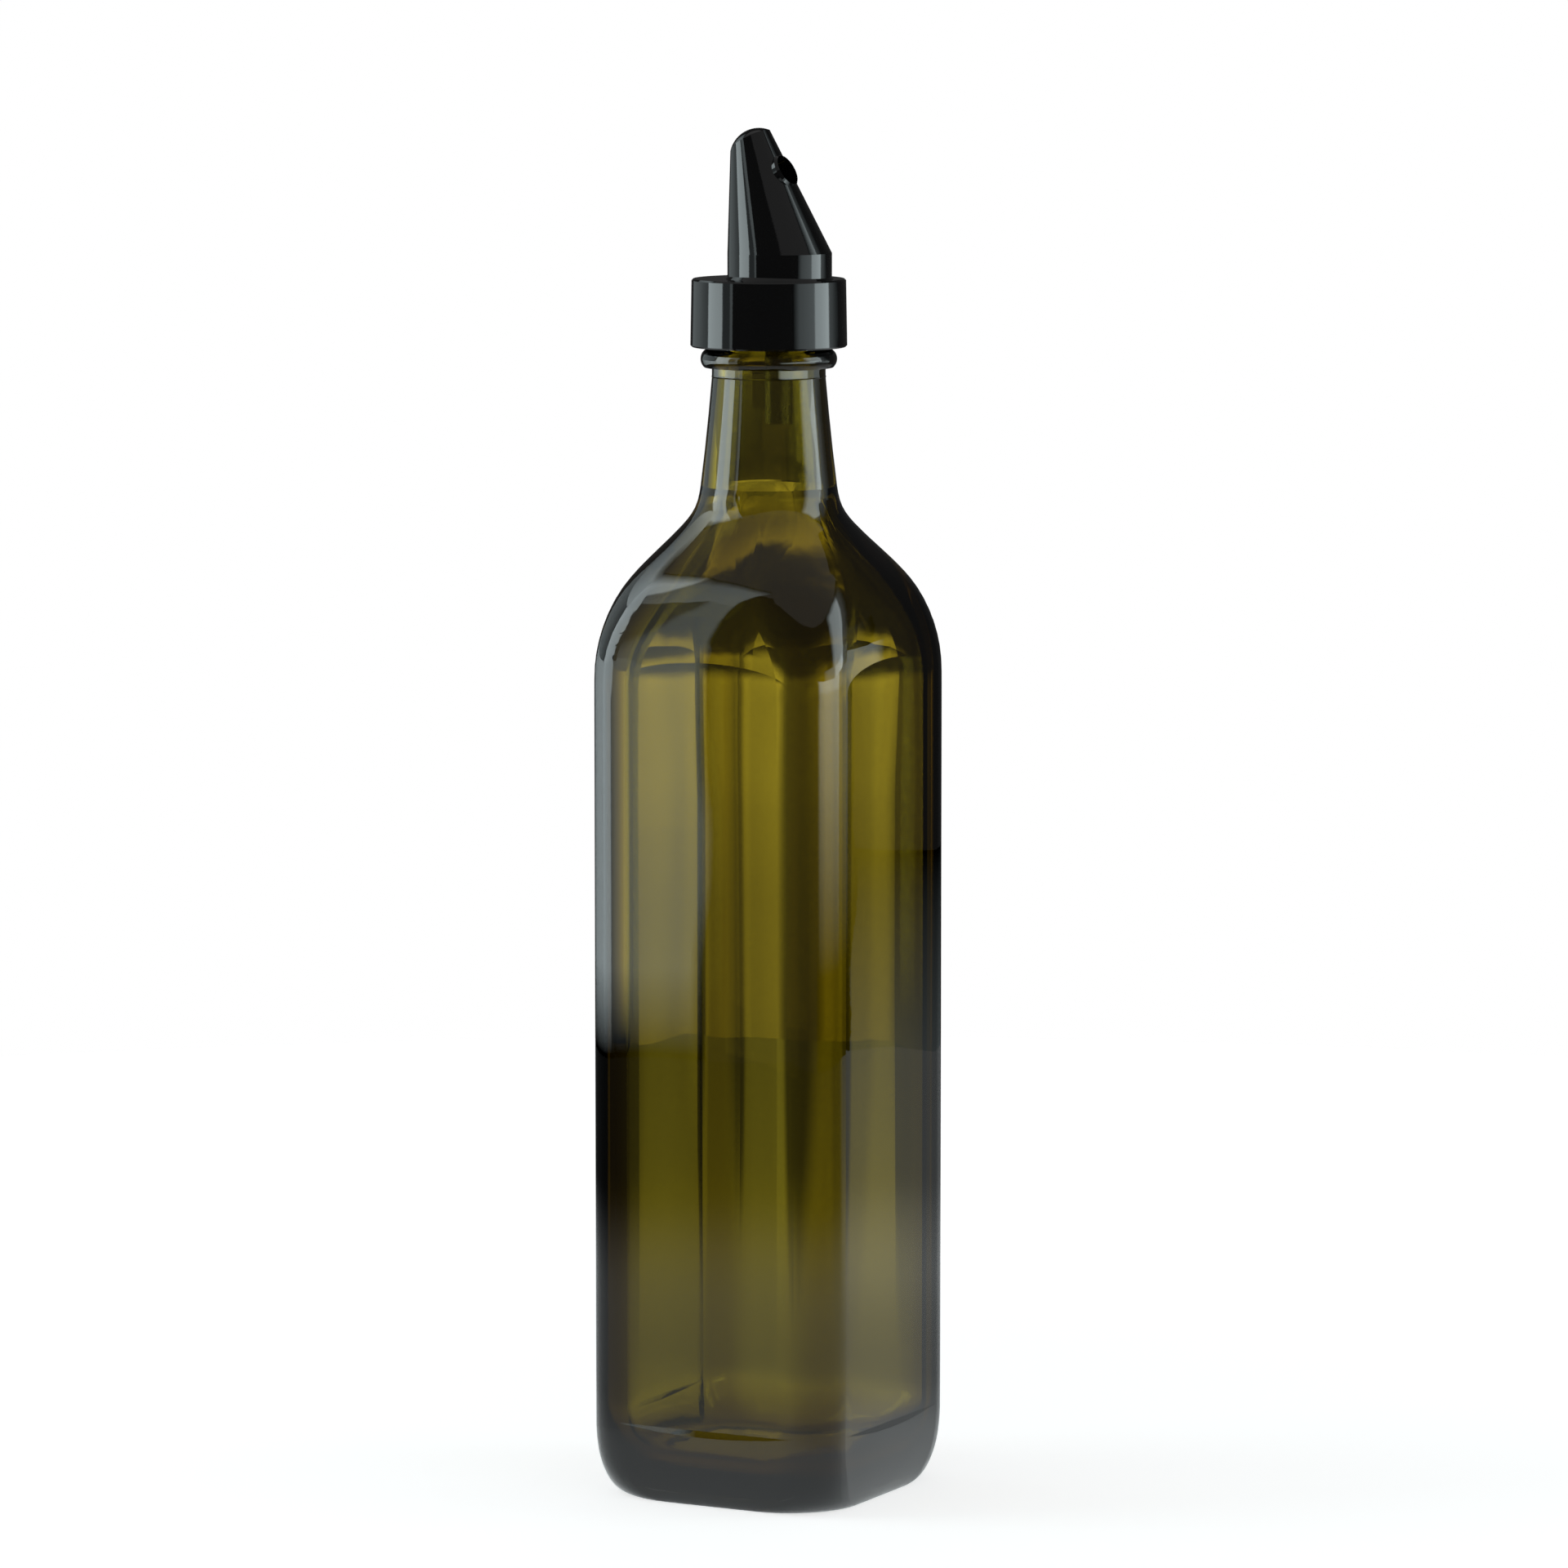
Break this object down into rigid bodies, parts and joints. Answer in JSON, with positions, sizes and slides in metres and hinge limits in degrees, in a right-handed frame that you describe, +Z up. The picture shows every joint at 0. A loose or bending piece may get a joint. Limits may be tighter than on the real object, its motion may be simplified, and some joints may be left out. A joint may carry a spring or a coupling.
{
  "type": "oil bottle with pourer",
  "caption": "Tall square glass oil bottle with rounded shoulders and neck, a black screw-on pourer with slanted spout and an air tube in the neck.",
  "frame": {"origin": "centre of the base, on the plane that the bottle stands on", "axes": "+Z up along the bottle, +X towards the side that the spout pours to, the four glass faces square to X and Y"},
  "size_m": [0.0672, 0.0672, 0.3294],
  "materials": {
    "glass": "polished dark olive-green glass",
    "pourer": "gloss black moulded plastic",
    "insert": "smooth dark moulded plastic"
  },
  "bodies": {
    "root": {"bottle": "glass", "pourer": "pourer", "insert": "insert"}
  },
  "joints": []
}
